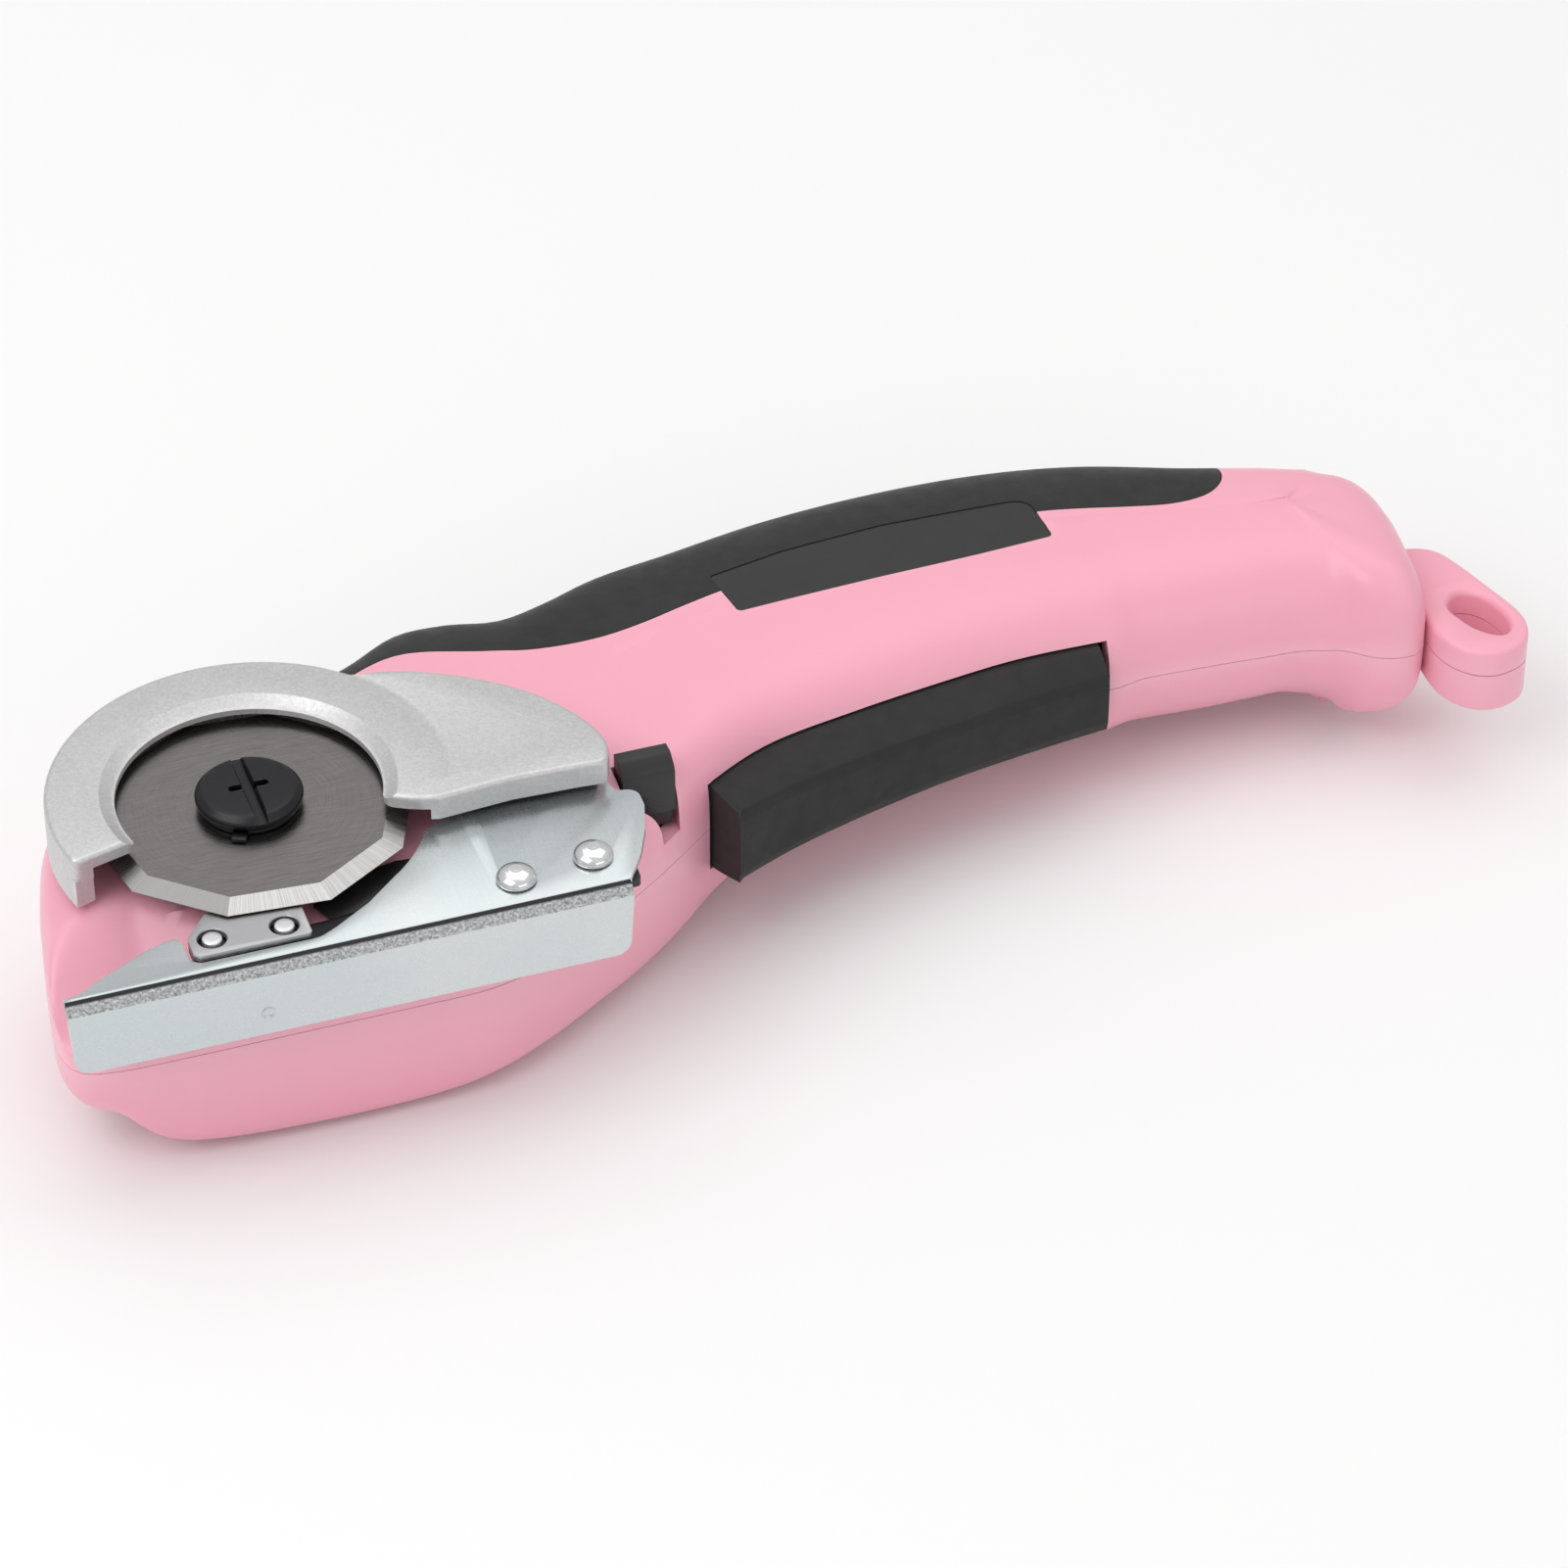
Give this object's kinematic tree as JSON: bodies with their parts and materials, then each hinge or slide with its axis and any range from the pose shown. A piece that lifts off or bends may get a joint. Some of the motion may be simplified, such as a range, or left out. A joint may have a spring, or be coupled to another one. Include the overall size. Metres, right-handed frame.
{
  "type": "cordless electric rotary cutter",
  "caption": "Cordless rotary fabric cutter: a decagonal blade in a cast guard over a sole plate, turned by a motor and worm gear in a two-shell pistol handle with a trigger and a lock button.",
  "frame": {"origin": "middle of the bounding box at its lowest face, the tool lying on its back shell", "axes": "+X along the sole from the nose to the tail, +Y from the sole to the spine of the handle, +Z along the blade's axis, out of the cutting side"},
  "size_m": [0.236, 0.0912, 0.0443],
  "materials": {
    "pink_plastic": "satin moulded plastic, pink",
    "black_elastomer": "matte soft overmould",
    "black_plastic": "fine matte",
    "cast_aluminium": "fine-grained die casting, tumbled",
    "zinc_plated_steel": "bright zinc plate with faint scratches",
    "blade_steel": "dark ground tool steel, bevels cross-ground",
    "steel": "turned or pressed",
    "black_oxide_steel": "black oxide",
    "bronze": "sintered",
    "brass": "machined",
    "white_nylon": "moulded",
    "grey_plastic": "glass-filled, moulded",
    "circuit_board": "solder mask",
    "ferrite": "sintered",
    "copper": "enamelled windings on steel laminations",
    "cell_wrap": "heat-shrink sleeve",
    "red_wire": "insulation",
    "black_wire": "insulation"
  },
  "bodies": {
    "housing": {"housing_upper": "pink_plastic", "housing_lower": "pink_plastic", "spine_grip_upper": "black_elastomer", "spine_grip_lower": "black_elastomer", "side_cover": "black_plastic", "blade_guard": "cast_aluminium", "guard_spacer": "black_plastic", "foot_plate": "zinc_plated_steel", "anvil_strip": "steel", "anvil_arm": "black_oxide_steel", "anvil_rivet_1": "steel", "anvil_rivet_2": "steel", "foot_rivet_1": "steel", "foot_rivet_2": "steel", "marking_strip": "black_plastic", "guard_screw_1": "steel", "guard_screw_2": "steel", "motor_can": "steel", "motor_end_cap": "black_plastic", "motor_front_bush": "bronze", "motor_magnet_1": "ferrite", "motor_magnet_2": "ferrite", "gear_frame": "grey_plastic", "spindle_bush_top": "bronze", "spindle_bush_low": "bronze", "worm_shaft_bush": "bronze", "trigger_pin": "steel", "trigger_spring": "steel", "micro_switch": "black_plastic", "lock_spring": "steel", "battery_cell": "cell_wrap", "control_board": "circuit_board", "charging_socket": "steel", "socket_tongue": "black_plastic", "lead_cell_board": "red_wire", "lead_board_switch": "black_wire", "lead_switch_motor": "black_wire", "lead_cell_motor": "red_wire", "housing_screw_1": "black_oxide_steel", "housing_screw_2": "black_oxide_steel", "housing_screw_3": "black_oxide_steel", "housing_screw_4": "black_oxide_steel", "housing_screw_5": "black_oxide_steel", "housing_screw_6": "black_oxide_steel"},
    "blade_drive": {"output_spindle": "steel", "cutting_blade": "blade_steel", "blade_screw": "black_oxide_steel", "keyed_washer": "black_oxide_steel", "worm_wheel": "white_nylon", "circlip": "steel"},
    "motor_rotor": {"motor_shaft": "steel", "worm": "brass", "motor_armature": "copper"},
    "trigger": {"trigger": "black_elastomer"},
    "switch_plunger": {"switch_plunger": "red_wire"},
    "lock_button": {"lock_button": "black_plastic"}
  },
  "joints": [
    {"name": "blade_spin", "type": "hinge", "parent": "housing", "child": "blade_drive", "pos_m": [-0.08302, -0.01238, 0.0398], "axis": [0, 0, 1], "continuous": true},
    {"name": "motor_spin", "type": "hinge", "parent": "housing", "child": "motor_rotor", "pos_m": [-0.08566, 0.00259, 0.0183], "axis": [0.9848, 0.1736, 0], "continuous": true},
    {"name": "trigger_press", "type": "hinge", "parent": "housing", "child": "trigger", "pos_m": [0.04798, 0.00382, 0.0208], "axis": [0, 0, -1], "range_deg": [0, 3.5], "stiffness_Nm_per_rad": 2.5, "springref_deg": -1.72, "deforming": ["trigger_spring"]},
    {"name": "plunger_slide", "type": "slide", "parent": "housing", "child": "switch_plunger", "axis": [0, 1, 0], "range_m": [0, 0.0027]},
    {"name": "lock_slide", "type": "slide", "parent": "housing", "child": "lock_button", "axis": [0, -1, 0], "range_m": [0, 0.0025], "stiffness_N_per_m": 200, "springref_m": -0.001, "deforming": ["lock_spring"]}
  ],
  "couplings": [
    {"joint": "motor_spin", "follows": "blade_spin", "ratio": 22},
    {"joint": "plunger_slide", "follows": "trigger_press", "m_per_rad": 0.0407}
  ]
}
